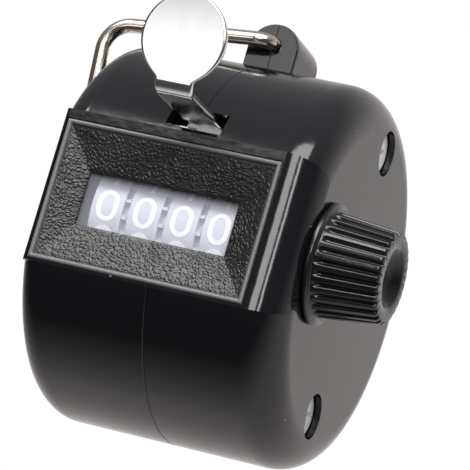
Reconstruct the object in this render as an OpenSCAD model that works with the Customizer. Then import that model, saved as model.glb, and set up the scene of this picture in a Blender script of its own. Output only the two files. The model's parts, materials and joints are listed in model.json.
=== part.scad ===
// Hand tally counter: a round two-shell casing with a four-wheel counting
// mechanism, a thumb lever, a reset knob and a wire finger ring.
// Frame: X along the drum towards the reset knob, -Y the side that shows the
// digits, +Z up. The origin is the middle of the drum, on its axis.

/* [Drum casing] */
// Radius of the round casing
drum_r = 24; // [23.5:0.1:25]
// Width of the right shell, from the parting plane to the knob's end face
half_right = 16.8; // [16.6:0.1:17]
// Width of the left shell, from the parting plane to the plain end face
half_left = 17.3; // [16.8:0.1:17.4]
// Edge rounding at the knob end
edge_right = 4.8; // [4:0.1:5]
// Edge rounding at the plain end
edge_left = 3.9; // [3:0.1:4.2]
// Thickness of the moulded wall
wall = 1.6; // [1.4:0.1:1.8]
// Distance from the drum's axis to the flat display face
face_y = 22; // [21.8:0.1:22.2]

/* [Display] */
// Left edge of the bezel
bezel_x0 = -15.9; // [-16:0.1:-15.5]
// Right edge of the bezel
bezel_x1 = 11.8; // [11.4:0.1:12]
// Lower edge of the bezel
bezel_z0 = -9.2; // [-9.3:0.1:-8.8]
// Upper edge of the bezel
bezel_z1 = 8.4; // [8:0.1:8.5]
// Left edge of the window
window_x0 = -11.8; // [-12:0.1:-11.4]
// Right edge of the window
window_x1 = 7.5; // [7.2:0.1:7.7]
// Lower edge of the window
window_z0 = -3.8; // [-4:0.1:-3.4]
// Upper edge of the window
window_z1 = 2.8; // [2.4:0.1:3]
// Depth of the bezel, from the display face to the lens
bezel_depth = 2; // [1.9:0.05:2.1]

/* [Number wheels] */
// Radius of a number wheel
wheel_r = 7; // [6.8:0.05:7.05]
// Distance from one wheel to the next
wheel_pitch = 4.82; // [4.8:0.01:4.85]
// Width of a wheel's rim
rim_w = 4; // [3.8:0.05:4]
// Middle of the units wheel
units_x = 5.55; // [5.5:0.01:5.6]
// Radius of the wheel shaft
shaft_r = 1.2; // [1.1:0.05:1.2]

/* [Thumb lever] */
// Width of the lever's strip
strip_w = 4.8; // [4.6:0.1:5]
// Thickness of the lever's sheet steel
strip_t = 0.8; // [0.7:0.05:0.8]
// Radius of the thumb pad
pad_r = 5.3; // [5:0.1:5.5]
// Forward lean of the thumb pad, in degrees
pad_lean = 10; // [8:1:12]

/* [Reset knob] */
// Radius of the grip where it leaves the casing
grip_r0 = 6.4; // [6.2:0.1:6.6]
// Radius of the grip at its outer end
grip_r1 = 5.55; // [5.4:0.05:5.7]
// Length of the grip
grip_len = 8; // [7.5:0.1:8.5]
// Number of flutes around the grip
flutes = 28; // [24:1:30]

/* [Finger ring] */
// Radius of the ring's wire
wire_r = 0.92; // [0.85:0.01:0.93]
// Droop of the ring's arms when folded, in degrees
ring_droop = 5; // [4:1:6]

/* [Hidden] */
$fn = 96;

fit = 0.05;                       // radial clearance of a shaft or pin in its hole

axis_y = -12.2;                   // wheel axis
axis_z = -0.5;
pivot_y = -17;                    // thumb lever pivot
pivot_z = 9.7;
pivot_r = 1;
pinion_y = axis_y + 9.1;          // transfer pinions, straight behind the wheels
pinion_pin_r = 0.8;

lens_lap = 1;                     // how far the lens reaches past the window
lens_t = 0.6;
shell_in = -19.6;                 // inner face of the wall behind the display
parting_bevel = 0.12;             // bevel on each shell's rim, seen as a fine line
shoulder_x = -16.4;               // shoulder behind the bezel's left end
shoulder_z = 9.55;
shoulder_edge = 0.5;
plate_t = 0.8;                    // mechanism side plates
left_plate_x = -13.4;
right_plate_x = 10;
spacers = [[-12, -11.3], [-4, 9.5]];
spacer_r = 1.4;
tenon_r = 0.9;
head_t = 0.3;
plate_corners = [[-18.9, 11.4], [-15.8, 12.2], [-3.2, 11.6], [0, 7], [0, -5],
    [-7, -12.8], [-13.2, -13.2], [-17.4, -8], [-18.9, -6]];  // side plate, as [y, z]
shaft_x0 = -14.8;                 // wheel shaft, its groove and the clip in it
shaft_x1 = 23;
clip_x = left_plate_x - 0.55;
clip_r = 2;
groove_r = 1;
groove_w = 0.5;

gear_teeth = 20;                  // transfer gear beside each rim
gear_w = 0.65;
gear_root = 5.9;
gear_tip = 6.85;
pinion_teeth = 8;
pinion_w = 0.52;
pinion_root = 1.95;
pinion_tip = 3.05;
recess_r0 = 2.4;                  // ring-shaped recess in a wheel's left face
recess_r1 = 5.2;

screws = [[0, 17.1], [0, -16.8]]; // casing screws, as [y, z]
screw_r = 1.2;
screw_head_r = 2.5;
screw_head_x = 14.6;              // underside of a screw's head
screw_head_t = 1.3;
screw_end_x = -8.5;
cross_w = 0.6;                    // cross recess in a screw's head
cross_len = 3;
post_r = 3.2;                     // posts inside the shells, for screws, spacers and shaft
tube_r = 3.7;
seat_r = 2.2;
shaft_seat_r = 2.6;
knob_bore_r = 2.7;
counterbore_r = 2.85;

lug_y0 = -4;                      // lug that carries the finger ring
lug_y1 = 5;
lug_r = 3.4;
lug_z = 26.3;
lug_step = 0.3;                   // step round the lug's two faces
lug_line = 0.06;                  // half width of the parting line on the lug
ring_z = 26.9;
ring_y0 = -6;
ring_y1 = 11.5;

slot_x0 = -3.8;                   // lever slot, across the parting plane
slot_x1 = 3.3;
slot_z0 = 10;
slot_z1 = 12.9;
strip_z = 11.3;                   // underside of the lever's strip

ratchet_x0 = units_x + rim_w / 2;
ratchet_x1 = ratchet_x0 + 0.95;
ratchet_tip = 3.6;
ratchet_root = 2.8;
arm_x0 = 8.75;
arm_x1 = 9.45;
pawl_y = -7.6;                    // pawl pin
pawl_z = 7.4;
pawl_pin_r = 0.6;
hub_r = 1.6;                      // lever arm's hub
rivet_x = 1.3;                    // rivets, either side of the strip's middle
rivet_y = -16.2;
rivet_r = 0.53;
rivet_hole_r = 0.55;
rivet_z = 10.62;
strip_y = 15.2;                   // inner end of the strip, as a distance along -Y
bend_y = 30.6;                    // middle of the bend, as a distance along -Y
bend_r = 1;
bend_steps = 8;
neck = 5;                         // from the bend to the middle of the pad

skirt_x = half_right + 0.12;      // reset knob
grip_x = skirt_x + 0.7;
skirt_r = 7.4;
knob_hub_r = 2.62;
flute_r = 0.42;
dish_r = 3.5;
dish_depth = 0.9;
knob_hole_r = 1.7;
knob_hole_depth = 3;

arm_len = 21.6;                   // finger ring, from its pin outwards
leg_len = 14;
pin_bend = 2;
leg_bend = 3.4;
bar_bend = 3;

coil_r = 1.5;                     // lever's return spring
coil_wire = 0.22;
coil_step = 0.4;
coil_x0 = -7.6;
coil_turns = 7;
coil_x1 = coil_x0 + (coil_turns - 1) * coil_step;
leg_wire = 0.18;
leg_reach = 2.12;                 // lever leg's distance from the pivot
leg_angle = 151;                  // lever leg's direction from the pivot, from +Y towards +Z
far = 80;

// A straight cylinder along X, from x0 to x1, at [y, z]
module rod(r, x0, x1, y = 0, z = 0) {
    translate([x0, y, z]) rotate([0, 90, 0]) cylinder(r = r, h = x1 - x0);
}

// A straight cylinder along Y, from y0 to y1, at [x, z]
module cross_rod(r, y0, y1, x = 0, z = 0) {
    translate([x, y0, z]) rotate([-90, 0, 0]) cylinder(r = r, h = y1 - y0);
}

// A box given by its lowest and highest corners
module block(low, high) {
    translate(low) cube(high - low);
}

// A flat outline in the YZ plane, carried along X from x0 to x1
module slab(x0, x1) {
    translate([x0, 0, 0]) rotate([90, 0, 90]) linear_extrude(height = x1 - x0) children();
}

// Half of a drum from the parting plane out to x = h, with a round outer edge and a small
// bevel at the parting plane
module drum_half_solid(r, h, edge) {
    rotate([0, 90, 0]) rotate_extrude() {
        square([r - edge, h]);
        polygon([[0, 0], [r - parting_bevel, 0], [r, parting_bevel], [r, h - edge], [0, h - edge]]);
        translate([r - edge, h - edge]) circle(edge);
    }
}

// Everything behind the flat display face, out to x = h, with the drum's rounding on its end.
// The rounding stands a little past the end face so that the two don't meet at a tangent.
module behind_face(h, edge) {
    past = 0.05;
    translate([0, 0, -far / 2]) linear_extrude(height = far) {
        translate([-1, edge - face_y]) square([h + 2, far]);
        translate([-1, -face_y]) square([h - edge + past + 1, far]);
        translate([h - edge + past, edge - face_y]) circle(edge);
    }
}

// A round-topped block across the parting plane, from y0 to y1
module lug_form(y0, y1, r) {
    cross_rod(r, y0, y1, 0, lug_z);
    block([-r, y0, 22], [r, y1, lug_z]);
}

// The outer form of one shell: side is 1 for the knob end and -1 for the plain end
module shell_outside(side) {
    edge = side > 0 ? edge_right : edge_left;
    h = side > 0 ? half_right : half_left;
    mirror([side > 0 ? 0 : 1, 0, 0]) intersection() {
        drum_half_solid(drum_r, h, edge);
        behind_face(h, edge);
    }
    // shoulder that fills out the drum's rounding behind the bezel's left end
    if (side < 0) translate([0, 0, -shoulder_z]) linear_extrude(height = 2 * shoulder_z) {
        translate([shoulder_x, shoulder_edge - face_y]) square([8, 6]);
        translate([shoulder_x + shoulder_edge, -face_y]) square([7, 6]);
        translate([shoulder_x + shoulder_edge, shoulder_edge - face_y]) circle(shoulder_edge);
    }
    // half of the ring's lug
    intersection() {
        union() {
            lug_form(lug_y0 + lug_step, lug_y1 - lug_step, lug_r);
            lug_form(lug_y0, lug_y1, lug_r - lug_step);
        }
        block([side > 0 ? 0 : -9, -20, 15], [side > 0 ? 9 : 0, 20, 40]);
    }
}

// The hollow inside one shell
module shell_inside(side) {
    edge = side > 0 ? edge_right : edge_left;
    h = side > 0 ? half_right : half_left;
    intersection() {
        mirror([side > 0 ? 0 : 1, 0, 0])
            translate([-1, 0, 0]) drum_half_solid(drum_r - wall, h - wall + 1, edge - wall);
        block([-30, shell_in, -30], [30, 30, 30]);
    }
}

// Cuts shared by both shells: bezel pocket, lens pocket, lever slot, ring bore, line on the lug
module shell_cuts() {
    block([bezel_x0 - fit, -face_y - 1, bezel_z0 - fit],
        [bezel_x1 + fit, -face_y + bezel_depth, bezel_z1 + fit]);
    block([window_x0 - lens_lap - 0.1, -face_y, window_z0 - lens_lap - 0.1],
        [window_x1 + lens_lap + 0.1, -18, window_z1 + lens_lap + 0.1]);
    block([slot_x0, -30, slot_z0], [slot_x1, pivot_y, slot_z1]);
    cross_rod(wire_r + 0.07, -10, 15, 0, ring_z);
    block([-lug_line, lug_y0 - 1, 23.8], [lug_line, lug_y0 + lug_step / 2, far]);
    block([-lug_line, lug_y0 - 1, lug_z + lug_r - lug_step], [lug_line, lug_y1 + 1, far]);
}

// Left shell: posts that the screws bite into, and seats for the mechanism
module left_casing() {
    color([0.03, 0.03, 0.035]) difference() {
        union() {
            difference() {
                shell_outside(-1);
                shell_inside(-1);
            }
            for (s = screws) rod(post_r, -half_left + wall / 2, 0, s[0], s[1]);
            for (s = spacers)
                rod(seat_r, -half_left + wall / 2, left_plate_x - head_t - 0.02, s[0], s[1]);
            rod(shaft_seat_r, -half_left + wall / 2, left_plate_x - 0.65, axis_y, axis_z);
        }
        shell_cuts();
        for (s = screws) rod(screw_r + fit, -9, 1, s[0], s[1]);
        rod(shaft_r + fit, -15, 0, axis_y, axis_z);
    }
}

// Right shell: counterbored screw tubes, knob hole and seats for the mechanism
module right_casing() {
    color([0.03, 0.03, 0.035]) difference() {
        union() {
            difference() {
                shell_outside(1);
                shell_inside(1);
            }
            for (s = screws) rod(tube_r, 0, half_right - wall / 2, s[0], s[1]);
            for (s = spacers)
                rod(seat_r, right_plate_x + plate_t + head_t + 0.02, half_right - wall / 2, s[0], s[1]);
        }
        shell_cuts();
        for (s = screws) {
            rod(screw_r + fit, -1, 20, s[0], s[1]);
            rod(counterbore_r, screw_head_x, 20, s[0], s[1]);
        }
        rod(knob_bore_r, 10, 20, axis_y, axis_z);
    }
}

// Bezel: a shallow picture frame whose four faces slope in to the window
module front_bezel() {
    lip = 0.5;
    color([0.06, 0.06, 0.06]) difference() {
        block([bezel_x0, -face_y, bezel_z0], [bezel_x1, -face_y + bezel_depth, bezel_z1]);
        hull() {
            block([bezel_x0 + lip, -face_y - 0.2, bezel_z0 + lip],
                [bezel_x1 - lip, -face_y, bezel_z1 - lip]);
            block([window_x0, -face_y + bezel_depth - 0.3, window_z0],
                [window_x1, -face_y + bezel_depth - 0.2, window_z1]);
        }
        block([window_x0, -face_y, window_z0], [window_x1, -15, window_z1]);
    }
}

// Clear window behind the bezel
module window_lens() {
    color([0.85, 0.88, 0.95, 0.4])
        block([window_x0 - lens_lap, -face_y + bezel_depth, window_z0 - lens_lap],
            [window_x1 + lens_lap, -face_y + bezel_depth + lens_t, window_z1 + lens_lap]);
}

// Two cross-head screws that close the casing
module casing_screws() {
    color([0.75, 0.76, 0.78]) for (s = screws) difference() {
        union() {
            rod(screw_r, screw_end_x, screw_head_x, s[0], s[1]);
            rod(screw_head_r, screw_head_x, screw_head_x + screw_head_t, s[0], s[1]);
        }
        for (turn = [20, 110]) translate([screw_head_x + 0.5, s[0], s[1]]) rotate([turn, 0, 0])
            translate([0, -cross_w / 2, -cross_len / 2]) cube([2, cross_w, cross_len]);
    }
}

// Either mechanism side plate
module side_plate(x0) {
    difference() {
        slab(x0, x0 + plate_t) polygon(plate_corners);
        rod(shaft_r + fit, x0 - 1, x0 + 2, axis_y, axis_z);
        rod(pivot_r + fit, x0 - 1, x0 + 2, pivot_y, pivot_z);
        rod(pinion_pin_r + fit, x0 - 1, x0 + 2, pinion_y, axis_z);
        for (s = spacers) rod(tenon_r + fit, x0 - 1, x0 + 2, s[0], s[1]);
    }
}
module left_side_plate() {
    color("silver") side_plate(left_plate_x);
}
module right_side_plate() {
    color("silver") side_plate(right_plate_x);
}

// Shouldered spacers, riveted over outside both plates
module frame_spacers() {
    color([0.7, 0.7, 0.72]) for (s = spacers) {
        rod(spacer_r, left_plate_x + plate_t, right_plate_x, s[0], s[1]);
        rod(tenon_r, left_plate_x - head_t, right_plate_x + plate_t + head_t, s[0], s[1]);
        rod(spacer_r, left_plate_x - head_t, left_plate_x, s[0], s[1]);
        rod(spacer_r, right_plate_x + plate_t, right_plate_x + plate_t + head_t, s[0], s[1]);
    }
}

module pinion_shaft() {
    color("silver")
        rod(pinion_pin_r, left_plate_x - head_t, right_plate_x + plate_t + head_t, pinion_y, axis_z);
}

module lever_pivot_pin() {
    color("silver") rod(pivot_r, left_plate_x - head_t, right_plate_x + plate_t + head_t, pivot_y, pivot_z);
}

// Torsion spring on the pivot pin: close coils, one leg down to the casing and one under the strip.
// Drawn as it stands with the lever fully pressed, so the lever never reaches it.
module lever_return_spring() {
    color([0.6, 0.6, 0.62]) {
        translate([coil_x0, pivot_y, pivot_z]) rotate([0, 90, 0]) rotate_extrude($fn = 32)
            for (i = [0:coil_turns - 1]) translate([coil_r, i * coil_step]) circle(coil_wire, $fn = 16);
        translate([coil_x0, pivot_y + coil_r - 0.04, pivot_z - 3])
            cylinder(r = leg_wire, h = 2.7, $fn = 24);
        translate([0, pivot_y, pivot_z]) rotate([leg_angle, 0, 0]) {
            cross_rod(leg_wire - 0.02, coil_r - 0.05, leg_reach, coil_x1, 0, $fn = 24);
            rod(leg_wire, coil_x1 - 0.25, -1, leg_reach, 0, $fn = 24);
        }
    }
}

// Flat spring that holds the ratchet between strokes, clamped round a spacer
module holding_spring() {
    hold = spacers[0];
    color([0.6, 0.6, 0.62]) {
        difference() {
            rod(spacer_r + 0.4, ratchet_x0 + 0.2, ratchet_x1 - 0.1, hold[0], hold[1]);
            rod(spacer_r + 0.02, ratchet_x0 - 1, ratchet_x1 + 1, hold[0], hold[1]);
        }
        slab(ratchet_x0 + 0.2, ratchet_x1 - 0.1)
            polygon([[-13.3, -10.3], [-13.6, -10.2], [-15.2, -3.2], [-14.9, -3.2]]);
    }
}

// Shaft that the number wheels turn on; the knob is fixed on its right end
module wheel_shaft() {
    color("silver") difference() {
        rod(shaft_r, shaft_x0, shaft_x1, axis_y, axis_z);
        difference() {
            rod(clip_r, clip_x, clip_x + groove_w, axis_y, axis_z);
            rod(groove_r, clip_x - 1, clip_x + 2, axis_y, axis_z);
        }
    }
}

// Retaining ring in the groove of the wheel shaft
module shaft_clip() {
    color([0.5, 0.5, 0.5]) difference() {
        rod(clip_r, clip_x + 0.02, clip_x + groove_w - 0.02, axis_y, axis_z);
        rod(groove_r + 0.03, clip_x - 1, clip_x + 2, axis_y, axis_z);
        block([clip_x - 1, axis_y - 0.7, axis_z - 3], [clip_x + 2, axis_y + 0.7, axis_z - 0.9]);
    }
}

// Reset knob: hub through the casing, thin skirt and tapered fluted grip
module reset_knob() {
    color([0.05, 0.05, 0.055]) difference() {
        union() {
            rod(knob_hub_r, right_plate_x + plate_t + 0.6, skirt_x + 0.3, axis_y, axis_z);
            rod(skirt_r, skirt_x, grip_x, axis_y, axis_z);
            translate([grip_x, axis_y, axis_z]) rotate([0, 90, 0])
                cylinder(r1 = grip_r0, r2 = grip_r1, h = grip_len);
        }
        for (i = [0:flutes - 1]) translate([grip_x + 0.5, axis_y, axis_z])
            rotate([i * 360 / flutes, 0, 0]) translate([0, 0, grip_r0 + 0.1])
                rotate([0, 90 + atan((grip_r0 - grip_r1) / grip_len), 0])
                    cylinder(r = flute_r, h = grip_len + 2, $fn = 24);
        rod(dish_r, grip_x + grip_len - dish_depth, grip_x + grip_len + 1, axis_y, axis_z);
        rod(knob_hole_r, grip_x + grip_len - knob_hole_depth, grip_x + grip_len + 1, axis_y, axis_z);
        rod(shaft_r + 0.02, 10, shaft_x1 + 0.05, axis_y, axis_z);
    }
}

// A toothed outline: a disc of the root radius with tapered teeth
module toothed(teeth, root, tip, foot, crest, turn) {
    circle(root);
    for (i = [0:teeth - 1]) rotate(turn + i * 360 / teeth)
        polygon([[root - 0.3, -foot], [tip, -crest], [tip, crest], [root - 0.3, foot]]);
}

// Number wheel: rim, web and hub, with a transfer gear beside the rim
module number_wheel(place) {
    xc = units_x - place * wheel_pitch;
    color([0.82, 0.82, 0.87]) difference() {
        union() {
            rod(wheel_r, xc - rim_w / 2, xc + rim_w / 2, axis_y, axis_z);
            if (place > 0) translate([0, axis_y, axis_z])
                slab(xc + rim_w / 2, xc + rim_w / 2 + gear_w)
                toothed(gear_teeth, gear_root, gear_tip, 0.42, 0.2, 180 / gear_teeth);
        }
        difference() {
            rod(recess_r1, xc - rim_w / 2 - 1, xc + 1, axis_y, axis_z);
            rod(recess_r0, xc - rim_w / 2 - 2, xc + 2, axis_y, axis_z);
        }
        rod(shaft_r + fit, xc - 4, xc + 4, axis_y, axis_z);
    }
}
module units_wheel() { number_wheel(0); }
module tens_wheel() { number_wheel(1); }
module hundreds_wheel() { number_wheel(2); }
module thousands_wheel() { number_wheel(3); }

// Ten-tooth ratchet on the side of the units wheel
module drive_ratchet() {
    color([0.8, 0.65, 0.3]) difference() {
        translate([0, axis_y, axis_z]) slab(ratchet_x0, ratchet_x1) {
            circle(ratchet_root);
            for (i = [0:9]) rotate(i * 36)
                polygon([[ratchet_root - 0.4, -0.5], [ratchet_tip, -0.5], [ratchet_root, 0.9],
                    [ratchet_root - 0.4, 0.9]]);
        }
        rod(shaft_r + fit, ratchet_x0 - 1, ratchet_x1 + 1, axis_y, axis_z);
    }
}

// Transfer pinion that meshes with the wheel of the given place
module transfer_pinion(place) {
    x0 = units_x - place * wheel_pitch + rim_w / 2 + 0.12;
    color([0.9, 0.9, 0.85]) difference() {
        translate([0, pinion_y, axis_z]) slab(x0, x0 + pinion_w)
            toothed(pinion_teeth, pinion_root, pinion_tip, 0.4, 0.18, 0);
        rod(pinion_pin_r + fit, x0 - 1, x0 + 2, pinion_y, axis_z);
    }
}
module tens_pinion() { transfer_pinion(1); }
module hundreds_pinion() { transfer_pinion(2); }
module thousands_pinion() { transfer_pinion(3); }

// Thumb lever: a bent steel strip with a round pad; outline as [-y, z]
function bend_point(r, a) = [bend_y + r * cos(a), strip_z + strip_t + bend_r + r * sin(a)];
function bend_arc(r, from, to) =
    [for (i = [0:bend_steps]) bend_point(r, from + (to - from) * i / bend_steps)];
function up_neck(r) = bend_point(r, -pad_lean) + neck * [sin(pad_lean), cos(pad_lean)];
module thumb_lever() {
    color([0.85, 0.85, 0.87]) difference() {
        union() {
            rotate([90, 0, -90]) linear_extrude(height = strip_w, center = true) polygon(concat(
                [[strip_y, strip_z]],
                bend_arc(bend_r + strip_t, -90, -pad_lean),
                [up_neck(bend_r + strip_t), up_neck(bend_r)],
                bend_arc(bend_r, -pad_lean, -90),
                [[strip_y, strip_z + strip_t]]));
            pad = up_neck(bend_r);
            translate([0, -pad[0], pad[1]]) rotate([90 + pad_lean, 0, 0])
                cylinder(r = pad_r, h = strip_t);
        }
        for (x = [-rivet_x, rivet_x]) translate([x, rivet_y, 5]) cylinder(r = rivet_hole_r, h = 10);
    }
}

// Lever arm: hub on the pivot pin, shelf under the strip and arm to the pawl
module lever_arm() {
    color([0.7, 0.7, 0.73]) difference() {
        union() {
            rod(hub_r, -strip_w / 2, arm_x1, pivot_y, pivot_z);
            block([-strip_w / 2, -18.2, pivot_z], [strip_w / 2, -15.3, strip_z]);
            slab(arm_x0, arm_x1) polygon([[pivot_y, pivot_z + 1.4], [pivot_y, pivot_z - 1.4],
                [pawl_y, pawl_z - 1.2], [pawl_y + 1.1, pawl_z], [pawl_y, pawl_z + 1.2]]);
        }
        rod(pivot_r + fit, -10, 20, pivot_y, pivot_z);
        rod(pawl_pin_r + fit, arm_x0 - 1, arm_x1 + 1, pawl_y, pawl_z);
        for (x = [-rivet_x, rivet_x]) translate([x, rivet_y, rivet_z - 0.02])
            cylinder(r = rivet_hole_r, h = 2);
    }
}

// Two rivets that hold the strip on the lever arm's shelf
module lever_rivets() {
    color("silver") for (x = [-rivet_x, rivet_x]) {
        translate([x, rivet_y, rivet_z]) cylinder(r = rivet_r, h = strip_z + strip_t - rivet_z);
        translate([x, rivet_y, strip_z + strip_t]) cylinder(r = 0.8, h = 0.25);
    }
}

module pawl_pin() {
    color("silver") rod(pawl_pin_r, ratchet_x0 + 0.2, arm_x1 + 0.1, pawl_y, pawl_z);
}

// Drive pawl: hangs from the pawl pin and hooks under a ratchet tooth
module drive_pawl() {
    hook_y = axis_y + ratchet_tip + 0.15;
    color([0.55, 0.55, 0.58]) difference() {
        union() {
            rod(1.15, ratchet_x0 + 0.2, ratchet_x1, pawl_y, pawl_z);
            slab(ratchet_x0 + 0.2, ratchet_x1) polygon([[pawl_y - 0.2, pawl_z], [pawl_y + 1.1, pawl_z],
                [pawl_y + 1.1, -2.4], [hook_y + 0.5, -2.4], [hook_y, -1.5], [hook_y + 0.8, -1.2],
                [pawl_y - 0.2, 2]]);
        }
        rod(pawl_pin_r + fit, ratchet_x0 - 1, ratchet_x1 + 1, pawl_y, pawl_z);
    }
}

// Leaf that pushes the pawl towards the ratchet, fixed to the lever arm
module pawl_spring() {
    color([0.6, 0.6, 0.62]) slab(arm_x0 - 0.2, arm_x0 - 0.02) polygon([[pawl_y - 0.4, pawl_z - 0.9],
        [pawl_y + 0.5, pawl_z - 0.9], [pawl_y + 0.4, 1], [pawl_y - 0.2, 1]]);
}

// A quarter bend of wire: starts at the origin along +Y and turns towards -X
module wire_bend(r) {
    translate([-r, 0, 0]) rotate_extrude(angle = 90) translate([r, 0]) circle(wire_r, $fn = 48);
}

// Finger ring: pin through the lug, two arms, two legs and a cross bar
module ring_side(y, side) {
    translate([0, y, 0]) mirror([0, side > 0 ? 0 : 1, 0]) {
        translate([0, -pin_bend, 0]) wire_bend(pin_bend);
        translate([-pin_bend - (arm_len - pin_bend - leg_bend), 0, 0]) rotate([0, 90, 0])
            cylinder(r = wire_r, h = arm_len - pin_bend - leg_bend, $fn = 48);
        translate([-arm_len + leg_bend, 0, -leg_bend]) rotate([90, 0, 0])
            rotate([0, 0, 90]) rotate_extrude(angle = 90) translate([leg_bend, 0])
                circle(wire_r, $fn = 48);
        translate([-arm_len, 0, -leg_len + bar_bend])
            cylinder(r = wire_r, h = leg_len - leg_bend - bar_bend, $fn = 48);
        translate([-arm_len, -bar_bend, -leg_len + bar_bend]) rotate([0, 90, 0])
            rotate_extrude(angle = 90) translate([bar_bend, 0]) circle(wire_r, $fn = 48);
    }
}
module finger_ring() {
    color([0.75, 0.7, 0.66]) translate([0, 0, ring_z]) rotate([0, -ring_droop, 0]) {
        cross_rod(wire_r, ring_y0 + pin_bend, ring_y1 - pin_bend, $fn = 48);
        ring_side(ring_y0, -1);
        ring_side(ring_y1, 1);
        cross_rod(wire_r, ring_y0 + bar_bend, ring_y1 - bar_bend, -arm_len, -leg_len, $fn = 48);
    }
}

left_casing();
right_casing();
front_bezel();
window_lens();
casing_screws();
left_side_plate();
right_side_plate();
frame_spacers();
pinion_shaft();
lever_pivot_pin();
lever_return_spring();
holding_spring();
wheel_shaft();
shaft_clip();
reset_knob();
units_wheel();
tens_wheel();
hundreds_wheel();
thousands_wheel();
drive_ratchet();
tens_pinion();
hundreds_pinion();
thousands_pinion();
thumb_lever();
lever_arm();
lever_rivets();
pawl_pin();
drive_pawl();
pawl_spring();
finger_ring();
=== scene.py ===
# %% [markdown]
# A hand tally counter: a round two-shell casing in polished black plastic, a grained bezel with a
# window, four number wheels, a bent steel thumb lever, a fluted reset knob and a wire finger ring.
# The engineering model already holds every part at its true size. This lesson adds the surfaces and
# finishes that the eye sees, and leaves the engineering parts where they are.

# %% Load the frame
import json

import bmesh
import bpy
import numpy as np
from mathutils import Matrix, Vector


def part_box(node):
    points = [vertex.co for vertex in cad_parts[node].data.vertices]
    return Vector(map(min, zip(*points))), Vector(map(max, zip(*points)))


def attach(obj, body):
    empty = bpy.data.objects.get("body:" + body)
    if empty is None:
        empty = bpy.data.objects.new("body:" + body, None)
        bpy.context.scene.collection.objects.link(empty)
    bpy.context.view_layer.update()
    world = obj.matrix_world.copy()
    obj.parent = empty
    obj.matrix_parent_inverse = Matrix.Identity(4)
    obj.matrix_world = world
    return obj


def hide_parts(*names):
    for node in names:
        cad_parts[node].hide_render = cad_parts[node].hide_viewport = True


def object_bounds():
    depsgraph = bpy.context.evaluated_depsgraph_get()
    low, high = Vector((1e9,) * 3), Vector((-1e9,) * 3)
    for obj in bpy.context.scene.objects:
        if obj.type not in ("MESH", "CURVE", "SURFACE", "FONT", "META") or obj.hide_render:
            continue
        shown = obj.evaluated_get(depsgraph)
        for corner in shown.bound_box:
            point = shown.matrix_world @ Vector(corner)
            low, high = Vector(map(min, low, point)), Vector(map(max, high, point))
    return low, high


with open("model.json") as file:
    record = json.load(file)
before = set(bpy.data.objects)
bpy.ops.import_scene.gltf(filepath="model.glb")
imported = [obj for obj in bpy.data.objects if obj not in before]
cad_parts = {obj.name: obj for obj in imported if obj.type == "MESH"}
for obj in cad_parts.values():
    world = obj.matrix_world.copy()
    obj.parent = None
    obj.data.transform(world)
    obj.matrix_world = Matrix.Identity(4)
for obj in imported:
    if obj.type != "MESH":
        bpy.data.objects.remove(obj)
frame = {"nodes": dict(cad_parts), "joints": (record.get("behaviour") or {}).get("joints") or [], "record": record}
nodes = frame["nodes"]
cad_bounds = [list(map(float, corner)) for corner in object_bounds()]
MM = 0.001

# %% [markdown]
# Places come from the frame. The wheels' axis is the middle of their shaft, and the bezel and the
# window keep the places of their engineering parts, so all of them are read from the parts' own
# boxes and never typed in twice.

# %% Read the places of axes and faces
def middle(node):
    """The mean of a part's low and high corners."""
    low, high = (np.array(corner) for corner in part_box(node))
    return (low + high) / 2


wheel_axis = middle("wheel_shaft")
wheel_low, wheel_high = (np.array(c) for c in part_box("units_wheel"))
wheel_radius = (wheel_high[2] - wheel_low[2]) / 2
rim_width = wheel_high[0] - wheel_low[0]
bezel_low, bezel_high = (np.array(c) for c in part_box("front_bezel"))
lens_low, lens_high = (np.array(c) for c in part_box("window_lens"))
print("wheel axis y, z:", wheel_axis[1:], "wheel radius", wheel_radius)

# %% [markdown]
# The camera stands slightly below the display's normal and to the knob's side, and it is rolled,
# because the counter lies tilted on its round casing. Its place is the direction to it times its
# distance, plus a small slide across the view.

# %% Set the camera
AZIMUTH, ELEVATION, ROLL = np.radians([20.21, -10.73, 16.19])
DISTANCE = 0.3762
SLIDE_RIGHT, SLIDE_UP = 0.0014, 0.0028
SENSOR = 36
LENS_PER_SENSOR = 3034.5 / 470


def view_axes(azimuth, elevation, roll):
    """Right, up and back vectors of a camera that looks at the origin from that direction, rolled."""
    back = np.array([np.sin(azimuth) * np.cos(elevation), -np.cos(azimuth) * np.cos(elevation),
                     np.sin(elevation)])
    level = np.array([np.cos(azimuth), np.sin(azimuth), 0.0])
    upright = np.cross(back, level)
    right = np.cos(roll) * level + np.sin(roll) * upright
    return right, np.cross(back, right), back


def placed(right, up, back, place):
    """A matrix whose columns are the three axes and the place."""
    matrix = np.eye(4)
    matrix[:3] = np.stack([right, up, back, place], 1)
    return Matrix(matrix.tolist())


def add_camera():
    right, up, back = view_axes(AZIMUTH, ELEVATION, ROLL)
    data = bpy.data.cameras.new("camera")
    data.sensor_width = SENSOR
    data.lens = LENS_PER_SENSOR * SENSOR
    camera = bpy.data.objects.new("camera", data)
    bpy.context.scene.collection.objects.link(camera)
    place = back * DISTANCE + right * SLIDE_RIGHT + up * SLIDE_UP
    camera.matrix_world = placed(right, up, back, place)
    bpy.context.scene.camera = camera
    print("camera at", place)


add_camera()

# %% [markdown]
# Shader maths is easier to read as Python. A Wire holds one output of a node, and the arithmetic
# signs on it add Math nodes. A Finish is one material: its node() method adds any other kind of
# node, with settings first and then the values or wires of the inputs.

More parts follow.
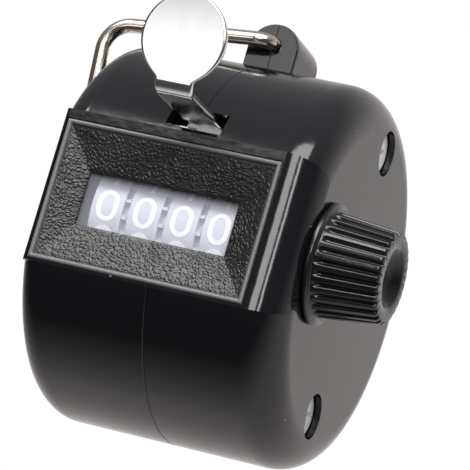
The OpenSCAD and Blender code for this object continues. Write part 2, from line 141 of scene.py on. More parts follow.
# %% Wires and finishes
class Wire:
    """One output socket, with arithmetic that adds Math nodes to the same material."""

    def __init__(self, finish, socket):
        self.finish, self.socket = finish, socket

    def maths(self, operation, first, second):
        return self.finish.node("ShaderNodeMath", {0: first, 1: second}, operation=operation)

    def __add__(self, other):
        return self.maths("ADD", self, other)

    def __radd__(self, other):
        return self.maths("ADD", other, self)

    def __rsub__(self, other):
        return self.maths("SUBTRACT", other, self)

    def __mul__(self, other):
        return self.maths("MULTIPLY", self, other)

    def __rmul__(self, other):
        return self.maths("MULTIPLY", other, self)

    def __gt__(self, other):
        return self.maths("GREATER_THAN", self, other)


class Finish:
    """One material built round a Principled shader, whose uniform values are set by name."""

    def __init__(self, name, **uniform):
        self.material = bpy.data.materials.new(name)
        self.material.use_nodes = True
        self.tree = self.material.node_tree
        self.shader = self.tree.nodes["Principled BSDF"]
        for socket, value in uniform.items():
            self.shader.inputs[socket.replace("_", " ")].default_value = value
        self.place = self.node("ShaderNodeTexCoord", out="Object")

    def node(self, kind, inputs=None, out=0, **settings):
        made = self.tree.nodes.new(kind)
        for key, value in settings.items():
            setattr(made, key, value)
        for key, value in (inputs or {}).items():
            if isinstance(value, Wire):
                self.tree.links.new(value.socket, made.inputs[key])
            else:
                made.inputs[key].default_value = value
        return Wire(self, made.outputs[out])

    def noise(self, scale, detail=3.0, rough=0.5, place=None):
        return self.node("ShaderNodeTexNoise", {"Vector": place or self.place, "Scale": scale,
                         "Detail": detail, "Roughness": rough}, out="Fac")

    def mix(self, mask, first, second):
        """Colour mix: 1 - mask of the first and mask of the second, each a wire or a plain colour."""
        ends = [value if isinstance(value, Wire) else (*value, 1) for value in (first, second)]
        return self.node("ShaderNodeMix", {0: mask, 6: ends[0], 7: ends[1]}, out=2, data_type="RGBA")

    def bump(self, height, strength, distance):
        values = {"Height": height, "Strength": strength, "Distance": distance}
        return self.node("ShaderNodeBump", values, out="Normal")

    def feed(self, **wires):
        for socket, wire in wires.items():
            self.tree.links.new(wire.socket, self.shader.inputs[socket.replace("_", " ")])
        return self.material


def finish_node(node, material):
    """Gives an engineering part the material as its only one."""
    nodes[node].data.materials.clear()
    nodes[node].data.materials.append(material)


print("helpers ready")

# %% [markdown]
# Light first. The real counter sits in a white tent, and its polished casing is a mirror: it is
# grey where it reflects the paper below and behind, dim where it reflects the tent's top, and
# nearly black where it reflects the dark opening behind the lens. The world is one smooth mix of
# those three, and rays straight from the camera see plain white. Two narrow softboxes near the
# lens draw the bright bands down the casing's front edge, and a broad one lights the wheels. Two
# more are placed so that the flat thumb pad and the face of the ring's lug mirror them.

# %% World and lights
PAPER_SIDE = (0.3, 0.85, -0.43)
PAPER_COLOUR = (0.84, 0.79, 0.78, 1)
PAPER_RAMP = [(0.0, 0.0), (0.2, 0.3), (0.6, 1.0)]
TENT_RAMP = [(0.1, 0.06), (0.8, 0.36)]
LAMP_DISTANCE = 0.5


def add_world():
    """Paper white towards PAPER_SIDE, else a dark front below and a dim tent above."""
    world = bpy.data.worlds.new("tent")
    bpy.context.scene.world = world
    world.use_nodes = True
    tree = world.node_tree
    tree.nodes.clear()
    link = tree.links.new

    def ramp(fac, stops):
        """A colour ramp that has two stops to start with."""
        made = tree.nodes.new("ShaderNodeValToRGB")
        elements = made.color_ramp.elements
        for spot, (position, grey) in enumerate(stops):
            element = elements[spot] if spot < 2 else elements.new(position)
            element.position, element.color = position, (grey, grey, grey, 1)
        link(fac, made.inputs["Fac"])
        return made.outputs["Color"]

    place = tree.nodes.new("ShaderNodeTexCoord").outputs["Generated"]
    toward = tree.nodes.new("ShaderNodeVectorMath")
    toward.operation = "DOT_PRODUCT"
    link(place, toward.inputs[0])
    toward.inputs[1].default_value = PAPER_SIDE
    parts = tree.nodes.new("ShaderNodeSeparateXYZ")
    link(place, parts.inputs[0])
    mix = tree.nodes.new("ShaderNodeMix")
    mix.data_type = "RGBA"
    link(ramp(toward.outputs["Value"], PAPER_RAMP), mix.inputs[0])
    link(ramp(parts.outputs["Z"], TENT_RAMP), mix.inputs[6])
    mix.inputs[7].default_value = PAPER_COLOUR
    tent = tree.nodes.new("ShaderNodeBackground")
    link(mix.outputs[2], tent.inputs["Color"])
    plain = tree.nodes.new("ShaderNodeBackground")
    plain.inputs["Color"].default_value = (1, 1, 1, 1)
    rays = tree.nodes.new("ShaderNodeLightPath")
    choose = tree.nodes.new("ShaderNodeMixShader")
    link(rays.outputs["Is Camera Ray"], choose.inputs[0])
    link(tent.outputs[0], choose.inputs[1])
    link(plain.outputs[0], choose.inputs[2])
    link(choose.outputs[0], tree.nodes.new("ShaderNodeOutputWorld").inputs["Surface"])


def add_area(name, azimuth, elevation, width, height, power):
    """A soft light seen from the origin at azimuth, elevation, facing it and upright."""
    right, up, back = view_axes(*np.radians([azimuth, elevation]), 0)
    data = bpy.data.lights.new(name, "AREA")
    data.shape = "RECTANGLE"
    data.size, data.size_y, data.energy = width, height, power
    lamp = bpy.data.objects.new(name, data)
    lamp.matrix_world = placed(right, up, back, back * LAMP_DISTANCE)
    bpy.context.scene.collection.objects.link(lamp)


add_world()
add_area("band_softbox", 8, 11, 0.15, 0.14, 0.5)
add_area("thin_softbox", 25, 11, 0.045, 0.14, 0.2)
add_area("key_softbox", -29, 44, 0.36, 0.17, 1.7)
add_area("broad_softbox", 24, 44, 0.36, 0.36, 2.8)
add_area("pad_softbox", -20, -8.5, 0.13, 0.13, 0.09)
add_area("lug_softbox", -20, 17.5, 0.09, 0.08, 0.06)
bpy.context.scene.view_settings.view_transform = "Standard"
print("lights set")

# %% [markdown]
# The floor is a pale disc just under the casing. The lens looks up from below it, so its underside
# is left clear and only its upper side is drawn. It glows a little, so that it stays white far from
# the lights. The casing's mirror finish doesn't see it: what it reflects comes from the world alone.

# %% Floor
FLOOR_R, FLOOR_SIDES, FLOOR_GAP = 1.5, 96, 0.2 * MM


def add_floor():
    """A disc: FLOOR_R * (cos, sin) of an even angle, just under the lowest point."""
    angle = np.linspace(0, 2 * np.pi, FLOOR_SIDES, endpoint=False)
    height = np.full(FLOOR_SIDES, cad_bounds[0][2] - FLOOR_GAP)
    rim = np.stack([FLOOR_R * np.cos(angle), FLOOR_R * np.sin(angle), height], 1)
    mesh = bpy.data.meshes.new("floor")
    mesh.from_pydata(rim.tolist(), [], [list(range(FLOOR_SIDES))])
    floor = bpy.data.objects.new("floor", mesh)
    bpy.context.scene.collection.objects.link(floor)
    paper = Finish("pale_paper", Base_Color=(0.86, 0.86, 0.86, 1), Roughness=0.9,
                   Emission_Color=(1, 1, 1, 1), Emission_Strength=0.45)
    clear = paper.node("ShaderNodeBsdfTransparent")
    under = paper.node("ShaderNodeNewGeometry", out="Backfacing")
    lit = Wire(paper, paper.shader.outputs[0])
    both = paper.node("ShaderNodeMixShader", {0: under, 1: lit, 2: clear})
    paper.tree.links.new(both.socket, paper.tree.nodes["Material Output"].inputs["Surface"])
    mesh.materials.append(paper.material)
    floor.visible_glossy = floor.visible_diffuse = floor.visible_shadow = False
    print("floor at", rim[0, 2])


add_floor()

# %% [markdown]
# Every new surface is a grid of points turned into quads. The grid may wrap in either direction,
# which closes tubes and rings without a seam, and an open end is closed with one flat face.

# %% Grid surfaces
def grid_faces(rows, columns, wrap_rows, wrap_columns):
    """Quads of a rows by columns grid, with wrapped sides joined back to the start."""
    across = np.arange(columns if wrap_columns else columns - 1)
    along = np.arange(rows if wrap_rows else rows - 1)
    i, j = np.meshgrid(along, across, indexing="ij")
    ni, nj = (i + 1) % rows, (j + 1) % columns
    quads = np.stack([i * columns + j, ni * columns + j, ni * columns + nj, i * columns + nj], -1)
    return quads.reshape(-1, 4)


def make_piece(name, parts, finish, body, smooth=True):
    """A mesh object from a list of (points, faces) parts, riding on a body."""
    points, faces, start = [], [], 0
    for part_points, part_faces in parts:
        points.append(part_points.reshape(-1, 3))
        faces += [[index + start for index in face] for face in part_faces]
        start += len(points[-1])
    mesh = bpy.data.meshes.new(name)
    mesh.from_pydata(np.concatenate(points).tolist(), [], faces)
    mesh.validate()
    piece = bpy.data.objects.new(name, mesh)
    bpy.context.scene.collection.objects.link(piece)
    mesh.polygons.foreach_set("use_smooth", np.full(len(mesh.polygons), smooth))
    mesh.materials.append(finish)
    turn_outward(mesh)
    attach(piece, body)
    print(name, len(mesh.vertices), "points,", len(mesh.polygons), "faces")
    return piece


def turn_outward(mesh):
    """Recalculates the normals so that every closed part faces outwards."""
    work = bmesh.new()
    work.from_mesh(mesh)
    bmesh.ops.recalc_face_normals(work, faces=work.faces)
    work.to_mesh(mesh)
    work.free()


def tube_part(points, closed_rows):
    """Faces of a grid whose columns wrap, with flat caps where the rows don't."""
    rows, columns = points.shape[:2]
    faces = grid_faces(rows, columns, closed_rows, True).tolist()
    if not closed_rows:
        faces.append(list(range(columns)))
        faces.append([(rows - 1) * columns + k for k in range(columns)])
    return points, faces


# %% [markdown]
# The casing is polished black plastic. Its colour is almost black, its gloss is a little uneven
# where it has been handled, and a few specks of pale dust sit on it. The specks are the inside of
# small cells in a Voronoi pattern, kept only where a second pattern is high, so they stay rare.

# %% Polished black plastic
PLASTIC_IOR = 1.5
DUST_CELLS, DUST_SIZE = 420.0, 0.055
DUST_GREY = (0.3, 0.3, 0.3)


def black_plastic(name, colour, roughness, dust):
    """Roughness grows with smears and on specks; dust is the share of cells that hold a speck."""
    finish = Finish(name, IOR=PLASTIC_IOR)
    grid = {"Vector": finish.place, "Scale": DUST_CELLS}
    cells = finish.node("ShaderNodeTexVoronoi", grid, out="Distance")
    pick = finish.node("ShaderNodeTexVoronoi", grid, out="Color")
    rare = finish.node("ShaderNodeSeparateColor", {0: pick}, out="Red") > 1 - dust
    speck = rare * (DUST_SIZE - cells > 0)
    smear = finish.noise(160.0, 4.0)
    base = finish.mix(speck, colour, DUST_GREY)
    shine = roughness + 0.07 * smear + 0.4 * speck
    skin = finish.bump(finish.noise(900.0, 2.0), 0.05, 0.0002)
    return finish.feed(Base_Color=base, Roughness=shine, Normal=skin)


casing_black = black_plastic("polished_black_plastic", (0.006, 0.006, 0.008), 0.08, 0.14)
knob_black = black_plastic("moulded_black_plastic", (0.007, 0.007, 0.008), 0.13, 0.05)
for name in ("left_casing", "right_casing"):
    finish_node(name, casing_black)
print("casing finished")

# %% [markdown]
# The bezel is a picture frame whose four faces slope in to the window, with a leather grain of
# raised pebbles that catch the light one by one. The grain is real relief: each point of the slope
# is moved by how far it lies from the border between its two nearest pebbles. The rounded rim is
# smooth and painted a paler grey, a painted highlight for the light its rounding catches, so the
# mesh carries a rim value for the finish.

# %% Grained bezel
SLOPE_STEPS, LIP_STEPS, SIDE_STEPS = 70, 10, 300
LIP_R = 0.32 * MM
WINDOW_INSET, LENS_GAP = 1 * MM, 0.3 * MM
FADE = 14
PEBBLES = 3000
PEBBLE_EDGE = 0.16 * MM
PEBBLE_STRETCH = 0.62
GRAIN_DEPTH = 0.1 * MM


def pebble_height(points):
    """Second nearest less nearest distance to scattered seeds, stretched along a wavy direction."""
    random = np.random.default_rng(7)
    span = bezel_high - bezel_low
    seeds = random.random((PEBBLES, 2)) * span[[0, 2]] + bezel_low[[0, 2]]
    here = points[:, [0, 2]]
    angle = 3 * np.sin(here[:, 0] * 210) + 2 * np.cos(here[:, 1] * 260)
    height = np.empty(len(here))
    for chunk in np.array_split(np.arange(len(here)), 24):
        offset = here[chunk, None, :] - seeds[None]
        turn = angle[chunk, None]
        along = offset[..., 0] * np.cos(turn) + offset[..., 1] * np.sin(turn)
        aside = offset[..., 1] * np.cos(turn) - offset[..., 0] * np.sin(turn)
        near = np.partition(np.hypot(along * PEBBLE_STRETCH, aside), 1, axis=1)[:, :2]
        height[chunk] = near[:, 1] - near[:, 0]
    return np.clip(height / PEBBLE_EDGE, 0, 1) ** 0.7


def bezel_loop(inset_x0, inset_x1, inset_z0, inset_z1, y):
    """A rectangle between those insets of the bezel's box, walked once round, at depth y."""
    x0, x1 = bezel_low[0] + inset_x0, bezel_high[0] - inset_x1
    z0, z1 = bezel_low[2] + inset_z0, bezel_high[2] - inset_z1
    t = np.linspace(0, 1, SIDE_STEPS, endpoint=False)
    short = np.linspace(0, 1, SIDE_STEPS * 2 // 3, endpoint=False)
    low = np.stack([x0 + (x1 - x0) * t, np.full_like(t, z0)], 1)
    right = np.stack([np.full_like(short, x1), z0 + (z1 - z0) * short], 1)
    top = np.stack([x1 - (x1 - x0) * t, np.full_like(t, z1)], 1)
    left = np.stack([np.full_like(short, x0), z1 - (z1 - z0) * short], 1)
    flat = np.concatenate([low, right, top, left])
    return np.stack([flat[:, 0], np.full(len(flat), y), flat[:, 1]], 1)


def build_bezel(finish):
    """Loops from the back edge, over the lip, down the slope and back along the window's edge.

    The grain moves each point of the slope by depth * height, and fades out by the slope's edges.
    """
    front, back = bezel_low[1], bezel_high[1]
    shoulder = lens_low[1] - LENS_GAP
    window = WINDOW_INSET + np.array([lens_low[0] - bezel_low[0], bezel_high[0] - lens_high[0],
                                      lens_low[2] - bezel_low[2], bezel_high[2] - lens_high[2]])
    even = np.ones(4)
    loops = [bezel_loop(*(0 * even), back)]
    for angle in np.radians(np.linspace(-84, 80, LIP_STEPS)):
        inset, depth = LIP_R * (1 + np.sin(angle)), LIP_R * (1 - np.cos(angle))
        loops.append(bezel_loop(*(inset * even), front + depth))
    foot = front + 1.2 * LIP_R
    for share in np.linspace(0, 1, SLOPE_STEPS):
        inset = 2.05 * LIP_R * even * (1 - share) + window * share
        loop = bezel_loop(*inset, foot + (shoulder - foot) * share)
        fade = min(1.0, share * FADE, (1 - share) * FADE)
        loop[:, 1] -= GRAIN_DEPTH * fade * pebble_height(loop)
        loops.append(loop)
    loops.append(bezel_loop(*window, shoulder + 0.0001))
    loops.append(bezel_loop(*window, back))
    points = np.stack(loops)
    piece = make_piece("bezel_grained", [tube_part(points, True)], finish, "casing")
    rim = np.zeros(points.shape[:2], np.float32)
    rim[2:LIP_STEPS + 1] = 1
    piece.data.attributes.new("rim", "FLOAT", "POINT").data.foreach_set("value", rim.ravel())
    return piece


def grained_plastic():
    finish = Finish("grained_black_plastic", IOR=PLASTIC_IOR)
    fine = finish.noise(2600.0, 3.0)
    patch = finish.noise(220.0, 2.0)
    base = finish.mix(patch, (0.008, 0.008, 0.008), (0.02, 0.02, 0.019))
    rim = finish.node("ShaderNodeAttribute", out="Fac", attribute_name="rim")
    # The rim value mixes in a paler grey: a painted highlight where the rounded rim catches the light.
    painted_rim_highlight = finish.mix(rim, base, (0.13, 0.125, 0.13))
    return finish.feed(Base_Color=painted_rim_highlight, Roughness=0.26 + 0.12 * patch,
                       Normal=finish.bump(fine, 0.25, 0.0001))


bezel = build_bezel(grained_plastic())
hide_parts("front_bezel")

# %% [markdown]
# The window is a thin clear plate. It is nearly invisible, so its alpha is low and its gloss high,
# with faint wiping marks.

# %% Window
window = Finish("clear_window_acrylic", Base_Color=(0.9, 0.92, 1.0, 1), Alpha=0.1, IOR=1.49)
finish_node("window_lens", window.feed(Roughness=0.03 + 0.05 * window.noise(300.0)))
print("window finished")

# %% [markdown]
# The number wheels are pale moulded plastic with a faint lavender cast. Such plastic is a little
# cloudy, so its colour and gloss drift with a coarse noise. The numerals and the small gears inside
# are the same kind of plastic in other colours, so one function makes all three.

# %% Number wheel plastic
def pale_plastic(name, first, second, roughness):
    finish = Finish(name, IOR=1.46)
    cloud = finish.noise(500.0, 3.0)
    return finish.feed(Base_Color=finish.mix(cloud, first, second), Roughness=roughness + 0.12 * cloud,
                       Normal=finish.bump(finish.noise(2500.0, 2.0), 0.12, 0.0001))


wheel_plastic = pale_plastic("pale_wheel_plastic", (0.56, 0.56, 0.66), (0.62, 0.62, 0.72), 0.4)
numeral_white = pale_plastic("numeral_white", (0.93, 0.93, 0.95), (0.98, 0.98, 0.99), 0.45)
natural_nylon = pale_plastic("natural_nylon", (0.62, 0.60, 0.52), (0.7, 0.68, 0.6), 0.4)
print("pale plastics ready")

# %% [markdown]
# The numerals are white and stand a hair proud of the rim. Each numeral is one or two strokes, and
# a stroke is a line or an arc carried round the wheel as a thin flat ribbon. Real geometry keeps
# them sharp however near the camera comes.

# %% Numerals
HALF_W, HALF_H = 1.05 * MM, 1.66 * MM
STROKE = 0.55 * MM
PROUD = 0.04 * MM


def arc(cx, cy, rx, ry, start, end, count=26):
    """An ellipse's arc between two angles in degrees, in shares of the numeral's half size."""
    angle = np.radians(np.linspace(start, end, count))
    return np.stack([cx + rx * np.cos(angle), cy + ry * np.sin(angle)], 1)


def line(*corners):
    """Straight runs between the corners, each cut into short steps."""
    steps = [np.linspace(a, b, 9)[:-1] for a, b in zip(corners[:-1], corners[1:])]
    return np.concatenate(steps + [np.array(corners[-1:], float)])


def join(*runs):
    return np.concatenate(runs)


DIGITS = [
    [join(arc(0, 0.3, 1, 0.7, 0, 180), arc(0, -0.3, 1, 0.7, 180, 360), line((1, -0.3), (1, 0.3)))],
    [line((-0.45, 0.62), (0.1, 1), (0.1, -1))],
    [join(arc(0, 0.42, 0.95, 0.58, 165, -25), line((0.86, 0.17), (-0.95, -1), (1, -1)))],
    [arc(0, 0.47, 0.85, 0.53, 150, -90), arc(0, -0.5, 0.98, 0.5, 90, -150)],
    [line((0.5, -1), (0.5, 1), (-1, -0.4), (1, -0.4))],
    [join(line((0.9, 1), (-0.75, 1), (-0.85, 0.1)), arc(0, -0.38, 0.98, 0.62, 130, -150))],
    [arc(0, -0.4, 0.95, 0.6, 0, 360, 40),
     join(line((-0.95, -0.4), (-0.9, 0.2)), arc(0.0, 0.35, 0.9, 0.65, 170, 40))],
    [line((-0.95, 1), (0.95, 1), (-0.25, -1))],
    [arc(0, 0.5, 0.82, 0.5, 0, 360, 40), arc(0, -0.48, 0.98, 0.52, 0, 360, 40)],
    [arc(0, 0.4, 0.95, 0.6, 0, 360, 40),
     join(line((0.95, 0.4), (0.9, -0.2)), arc(0.0, -0.35, 0.9, 0.65, -10, -140))],
]


def ribbon(path, turn, centre_x):
    """A stroke on the rim: offset each side by half its width, inside and outside the rim's radius."""
    path = path * [HALF_W, HALF_H]
    keep = np.concatenate([[True], np.hypot(*np.diff(path, axis=0).T) > 1e-7])
    path = path[keep]
    ahead = np.gradient(path, axis=0)
    ahead /= np.linalg.norm(ahead, axis=1)[:, None]
    aside = np.stack([-ahead[:, 1], ahead[:, 0]], 1) * STROKE / 2
    edges = [(path + aside, PROUD), (path - aside, PROUD), (path - aside, -PROUD), (path + aside, -PROUD)]
    sections = []
    for flat, rise in edges:
        angle = flat[:, 1] / wheel_radius + turn
        radius = wheel_radius + rise
        sections.append(np.stack([centre_x + flat[:, 0], wheel_axis[1] - radius * np.cos(angle),
                                  wheel_axis[2] + radius * np.sin(angle)], 1))
    return tube_part(np.stack(sections, 1), False)


def number_wheel(body):
    """Ten numerals on one wheel, each a tenth of a turn above the last."""
    node = f"{body}_wheel"
    centre_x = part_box(node)[0][0] + rim_width / 2
    parts = [ribbon(stroke, np.radians(36 * value), centre_x)
             for value, strokes in enumerate(DIGITS) for stroke in strokes]
    piece = make_piece(f"{body}_numerals", parts, numeral_white, body, smooth=False)
    finish_node(node, wheel_plastic)


for body in ("units", "tens", "hundreds", "thousands"):
    number_wheel(body)

# %% [markdown]
# The reset knob is a turned and fluted shape: one outline carried round the wheel axis, whose
# radius dips between the ribs. The dips fade out at the rounded end, where a dish leads to the
# hole for the shaft.

# %% Reset knob
FLUTES = 28
ROUND_STEPS = FLUTES * 14
FLUTE_DEPTH = 0.5 * MM
FLUTE_SHARPNESS, LAND_SHIFT = 3, 0.35
SHAFT_BORE, HUB_R, SKIRT_EDGE = 1.22, 2.6, 7.2
GRIP_R, GRIP_TAPER, GRIP_LENGTH, SKIRT_LENGTH = 6.4, 0.78, 8, 0.7
FLUTE_START, FLUTE_RUN, SKIRT_ROUND = 0.1, 7.35, 0.15
END_R, END_ROUND = 5.1, 0.5
DISH = [(0, 3.75), (0.12, 3.55), (0.9, 3.1), (1.5, 2.2), (1.7, 1.85), (1.9, 1.7), (3, 1.65)]


def knob_outline():
    """Columns of x, radius and share of fluting from the hub, over the skirt and grip, into the dish.

    The rows are worked out in millimetres, and measured back from the knob's outer end.
    """
    low, high = (np.array(c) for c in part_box("reset_knob"))
    hub, skirt_r = (high[0] - low[0]) / MM, (high[2] - low[2]) / 2 / MM
    skirt, grip = GRIP_LENGTH + SKIRT_LENGTH, GRIP_LENGTH
    rows = [(hub, SHAFT_BORE, 0), (hub, HUB_R - 0.1, 0), (hub - 0.1, HUB_R, 0), (skirt, HUB_R, 0),
            (skirt, SKIRT_EDGE, 0), (skirt - SKIRT_ROUND, skirt_r, 0),
            (grip + SKIRT_ROUND, skirt_r, 0), (grip, SKIRT_EDGE, 0), (grip, GRIP_R, 0)]
    for share in np.linspace(0, 1, 30):
        back = grip - FLUTE_START - FLUTE_RUN * share
        rows.append((back, GRIP_R - GRIP_TAPER * share, min(1, share * 12)))
    for angle in np.radians(np.linspace(8, 90, 9)):
        rows.append((END_ROUND * (1 - np.sin(angle)), END_R + 0.52 * np.cos(angle), np.cos(angle)))
    rows += [(depth, radius, 0) for depth, radius in DISH] + [(3.05, SHAFT_BORE, 0)]
    back, radius, fluting = np.array(rows).T
    return high[0] - back * MM, radius * MM, fluting


def build_knob():
    """Radius less depth * fluting * (1 - wave) / 2, where the wave is a sine made nearly square."""
    x, outline, fluting = knob_outline()
    angle = np.linspace(0, 2 * np.pi, ROUND_STEPS, endpoint=False)
    wave = np.tanh(FLUTE_SHARPNESS * (np.sin(FLUTES * angle) + LAND_SHIFT))
    wave = np.clip(wave / np.tanh(FLUTE_SHARPNESS), -1, 1)
    radius = outline[:, None] - FLUTE_DEPTH * fluting[:, None] * (1 - wave[None]) / 2
    along = np.broadcast_to(x[:, None], radius.shape)
    points = np.stack([along, wheel_axis[1] + radius * np.cos(angle),
                       wheel_axis[2] + radius * np.sin(angle)], -1)
    return make_piece("knob_fluted", [tube_part(points, True)], knob_black, "shaft")


knob = build_knob()
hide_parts("reset_knob")

# %% [markdown]
# Bright steel: the thumb lever is polished sheet and the finger ring is nickel-plated wire. A metal
# needs full Metallic, a light colour and small uneven gloss. Fine scratches are noise stretched
# along one axis by a Mapping node.

# %% Steel finishes
def steel(name, colour, roughness, stretch, scratch, metal=1.0):
    """Streaks follow the axis whose stretch is small, and clouds make the gloss uneven."""
    finish = Finish(name, Metallic=metal)
    drawn = finish.node("ShaderNodeMapping", {"Vector": finish.place, "Scale": stretch})
    streak = finish.noise(900.0, 3.0, place=drawn)
    cloud = finish.noise(140.0)
    darker = tuple(0.82 * part for part in colour)
    shine = roughness + 0.12 * streak * cloud
    return finish.feed(Base_Color=finish.mix(cloud, darker, colour), Roughness=shine,
                       Normal=finish.bump(streak, scratch, 0.00003))


polished_steel = steel("polished_lever_steel", (0.9, 0.9, 0.91), 0.12, (1, 1, 0.15), 0.06)
nickel_wire = steel("nickel_plated_wire", (0.85, 0.755, 0.68), 0.14, (0.2, 1, 1), 0.08)
pressed_steel = steel("pressed_plate_steel", (0.6, 0.6, 0.62), 0.3, (1, 0.1, 1), 0.12)
turned_steel = steel("turned_steel", (0.66, 0.66, 0.68), 0.22, (1, 1, 1), 0.1)
spring_steel = steel("drawn_spring_steel", (0.45, 0.45, 0.47), 0.25, (1, 1, 1), 0.1)
zinc_plate = steel("zinc_plate", (0.95, 0.96, 0.98), 0.42, (1, 1, 1), 0.3, 0.35)
cut_brass = steel("cut_brass", (0.72, 0.53, 0.22), 0.25, (1, 1, 1), 0.1)

FINISH_OF_SLOT = {"zinc_screw": zinc_plate, "plate_steel": pressed_steel, "turned_steel": turned_steel,
                  "spring_steel": spring_steel, "pinion_nylon": natural_nylon, "ratchet_brass": cut_brass}
for entry in frame["record"]["subparts"]:
    if entry["material_slot"] in FINISH_OF_SLOT:
        finish_node(entry["node"], FINISH_OF_SLOT[entry["material_slot"]])
print("steel parts finished")

# %% [markdown]
# The thumb lever is one strip of sheet steel: straight out of the casing, a tight bend upwards, a
# short neck that widens, and a round pad. It is a closed surface: a section with rounded edges is
# carried along the strip's centre line while its half width follows the outline.

# %% Thumb lever
STRIP_HALF, PAD_R, SHEET = 2.4 * MM, 5.3 * MM, 0.8 * MM
BEND_Y, BEND_R, LEAN, NECK = -30.6 * MM, 1.4 * MM, np.radians(10), 5 * MM
NECK_POWER = 7
EDGE_R = 0.3 * MM


def lever_line():
    """Centre line points and sheet normals in the YZ plane, with the half width at each.

    The neck widens as (disc ** NECK_POWER + strip ** NECK_POWER) ** (1 / NECK_POWER).
    """
    low, high = (np.array(c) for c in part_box("thumb_lever"))
    z0 = low[2] + SHEET / 2
    bend = np.array([BEND_Y, z0 + BEND_R])
    flat = np.linspace(high[1], bend[0], 14)[:-1]
    spots = [((y, z0), (0.0, 1.0), STRIP_HALF) for y in flat]
    for angle in np.linspace(-np.pi / 2, -LEAN, 16):
        away = np.array([-np.cos(angle), np.sin(angle)])
        spots.append((bend + BEND_R * away, tuple(-away), STRIP_HALF))
    start = bend + BEND_R * np.array([-np.cos(-LEAN), np.sin(-LEAN)])
    rise = np.array([-np.sin(LEAN), np.cos(LEAN)])
    facing = (np.cos(LEAN), np.sin(LEAN))
    close = np.sin(np.linspace(0.03, np.pi / 2 - 0.02, 40))
    share = np.concatenate([np.linspace(0.01, 0.5, 36), 0.5 + 0.5 * close])
    for step in share * (NECK + PAD_R):
        disc = np.sqrt(max(PAD_R ** 2 - (step - NECK) ** 2, 0.0))
        blended = np.linalg.norm([disc, STRIP_HALF], NECK_POWER)
        spots.append((start + rise * step, facing, blended if step < NECK else disc))
    return spots


def build_lever():
    """Flat faces joined by half-round edges, the same number of points all along the strip."""
    flat = np.array([-1, -0.98, -0.9, -0.5, 0, 0.5, 0.9, 0.98, 1])
    bend = np.radians(np.linspace(90, -90, 9))[1:-1]
    core = np.concatenate([flat, np.ones(7), -flat, -np.ones(7)])
    round_x = np.concatenate([np.zeros(9), np.cos(bend), np.zeros(9), -np.cos(bend)])
    rise = np.concatenate([np.ones(9), np.sin(bend), -np.ones(9), -np.sin(bend)])
    rows = []
    for (y, z), (ny, nz), half in lever_line():
        edge = min(EDGE_R, half * 0.6)
        thick = SHEET / 2 * min(1.0, (half / (0.5 * MM)) ** 0.5)
        x = core * (half - edge) + edge * round_x
        rows.append(np.stack([x, y + ny * thick * rise, z + nz * thick * rise], 1))
    return make_piece("lever_polished", [tube_part(np.stack(rows), False)], polished_steel, "lever")


lever = build_lever()
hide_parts("thumb_lever")

# %% [markdown]
# The finger ring is one closed wire. Its route is a list of corners, each rounded with a bend, and
# a round section is carried along it. The section's frame is passed from point to point so that it
# doesn't spin, and the small twist left at the end is shared out round the loop.

# %% Finger ring
WIRE_R, RING_SIDES = 0.92 * MM, 28
DROOP = np.radians(5)
ARM, LEG = 21.6 * MM, 14 * MM
PIN_BEND, LEG_BEND, BAR_BEND = 2 * MM, 3.4 * MM, 3 * MM


def rounded_loop(corners, bends):
    """Points of a closed loop: a quarter of an arc with its bend's radius replaces each corner."""
    path = []
    for k, here in enumerate(corners):
        before, after = corners[k - 1], corners[(k + 1) % len(corners)]
        back, ahead = before - here, after - here
        length = np.linalg.norm(back)
        back, ahead = back / length, ahead / np.linalg.norm(ahead)
        for share in np.linspace(0, 1, 12, endpoint=False)[1:]:
            along = bends[k - 1] + (length - bends[k - 1] - bends[k]) * share
            path.append(before - back * along)
        centre = here + (back + ahead) * bends[k]
        for turn in np.linspace(0, np.pi / 2, 12):
            path.append(centre - ahead * bends[k] * np.cos(turn) - back * bends[k] * np.sin(turn))
    return np.array(path)


def carried_normals(ahead):
    """A normal for each direction: the one before it, less its part along the new direction."""
    normal, normals = np.cross(ahead[0], [0.3, 0.4, 0.8]), []
    for direction in ahead:
        normal = normal - direction * normal.dot(direction)
        normal = normal / np.linalg.norm(normal)
        normals.append(normal)
    return np.array(normals)


def wire_rings(path, ahead, normals, radius, angle):
    """Rings of points: path point + radius * (cos(angle) * normal + sin(angle) * other normal)."""
    other = np.cross(ahead, normals)
    return path[:, None] + radius * (np.cos(angle)[..., None] * normals[:, None]
                                     + np.sin(angle)[..., None] * other[:, None])


def sweep_loop(path, radius, sides):
    """A round section carried round a closed path without spin, its leftover twist shared out."""
    ahead = np.roll(path, -1, 0) - np.roll(path, 1, 0)
    ahead /= np.linalg.norm(ahead, axis=1)[:, None]
    normals = carried_normals(np.concatenate([ahead, ahead[:1]]))
    first, last = normals[0], normals[-1]
    twist = np.arctan2(np.cross(first, last).dot(ahead[0]), first.dot(last))
    share = np.arange(len(path))[:, None] / len(path)
    angle = np.linspace(0, 2 * np.pi, sides, endpoint=False)[None] - twist * share
    return wire_rings(path, ahead, normals[:-1], radius, angle)


def build_ring():
    """A flat-armed loop whose legs turn down, drooping about its pin by DROOP."""
    joint = next(j for j in frame["joints"] if j["name"] == "ring_swing")
    pivot = np.array(joint["pos_m"])
    low, high = (np.array(c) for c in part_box("finger_ring"))
    y0, y1 = low[1] + WIRE_R, high[1] - WIRE_R
    flat = np.array([[0, y0, 0], [-ARM, y0, 0], [-ARM, y0, -LEG],
                     [-ARM, y1, -LEG], [-ARM, y1, 0], [0, y1, 0]])
    path = rounded_loop(flat, [PIN_BEND, LEG_BEND, BAR_BEND, BAR_BEND, LEG_BEND, PIN_BEND])
    x, z = path[:, 0].copy(), path[:, 2].copy()
    path[:, 0] = x * np.cos(DROOP) - z * np.sin(DROOP)
    path[:, 2] = x * np.sin(DROOP) + z * np.cos(DROOP)
    surface = sweep_loop(path + pivot, WIRE_R, RING_SIDES)
    return make_piece("ring_wire", [tube_part(surface, True)], nickel_wire, "ring")


ring = build_ring()
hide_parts("finger_ring")

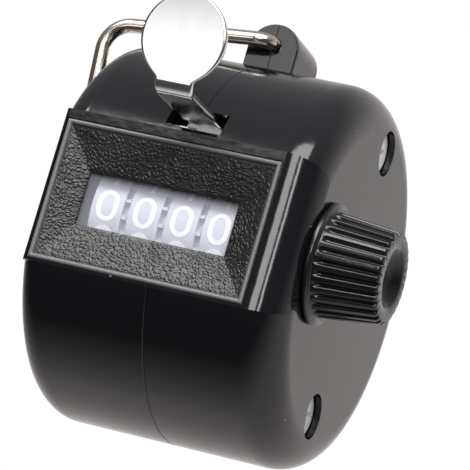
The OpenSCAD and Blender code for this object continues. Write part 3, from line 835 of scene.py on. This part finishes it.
# %% [markdown]
# The lever's return spring can't be seen on a closed counter, but it is a part of its own, so it
# gets its true shape: close turns of thin wire round the lever's pivot, one leg that rests in the
# casing and one that reaches under the lever. The last bends start as sharp corners, and cutting
# every corner a few times turns them into short curves.

# %% Return spring
SPRING_WIRE, COIL_R = 0.18 * MM, 1.5 * MM
COIL_START, COIL_LENGTH = 0.22 * MM, 2.4 * MM
LEG_REACH, LEG_ANGLE = 2.12 * MM, np.radians(151)
FULL_TURNS, TURN_STEPS, SPRING_SIDES = 6, 300, 12
BEND_START = 0.25


def cut_corners(points, rounds):
    """Each straight run keeps its middle half, so a corner becomes two blunter ones each round."""
    for _ in range(rounds):
        first, second = points[:-1], points[1:]
        middles = np.stack([0.75 * first + 0.25 * second, 0.25 * first + 0.75 * second], 1)
        points = np.concatenate([points[:1], middles.reshape(-1, 3), points[-1:]])
    return points


def spring_path():
    """Up the casing leg, round the pivot at a steady pitch, outwards, and along under the lever."""
    low, high = (np.array(c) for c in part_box("lever_return_spring"))
    pivot = middle("lever_pivot_pin")

    def spot(x, radius, angle):
        """Points at distance x along the pin's axis, radius from it, angle from +Y towards +Z."""
        x, angle = np.broadcast_arrays(x, angle)
        return np.stack([x, pivot[1] + radius * np.cos(angle), pivot[2] + radius * np.sin(angle)], -1)

    x0 = low[0] + COIL_START
    x1 = x0 + COIL_LENGTH
    leg = np.linspace([x0, pivot[1] + COIL_R, low[2]], [x0, pivot[1] + COIL_R, pivot[2]], 9)[:-1]
    end = 2 * np.pi * FULL_TURNS + LEG_ANGLE
    angle = np.linspace(0, end - BEND_START, TURN_STEPS)
    coil = spot(x0 + COIL_LENGTH * angle / end, COIL_R, angle)
    tail = [coil[-1], spot(x1, COIL_R, LEG_ANGLE)]
    tail += [spot(x, LEG_REACH, LEG_ANGLE) for x in (x1, x1 + 0.6 * MM, high[0])]
    return np.concatenate([leg, coil[:-1], cut_corners(np.array(tail), 3)])


def build_spring():
    """One round section carried along the open path, with flat ends."""
    path = spring_path()
    ahead = np.gradient(path, axis=0)
    ahead /= np.linalg.norm(ahead, axis=1)[:, None]
    angle = np.linspace(0, 2 * np.pi, SPRING_SIDES, endpoint=False)[None]
    surface = wire_rings(path, ahead, carried_normals(ahead), SPRING_WIRE, angle)
    return make_piece("return_spring_wound", [tube_part(surface, False)], spring_steel, "casing")


spring = build_spring()
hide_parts("lever_return_spring")
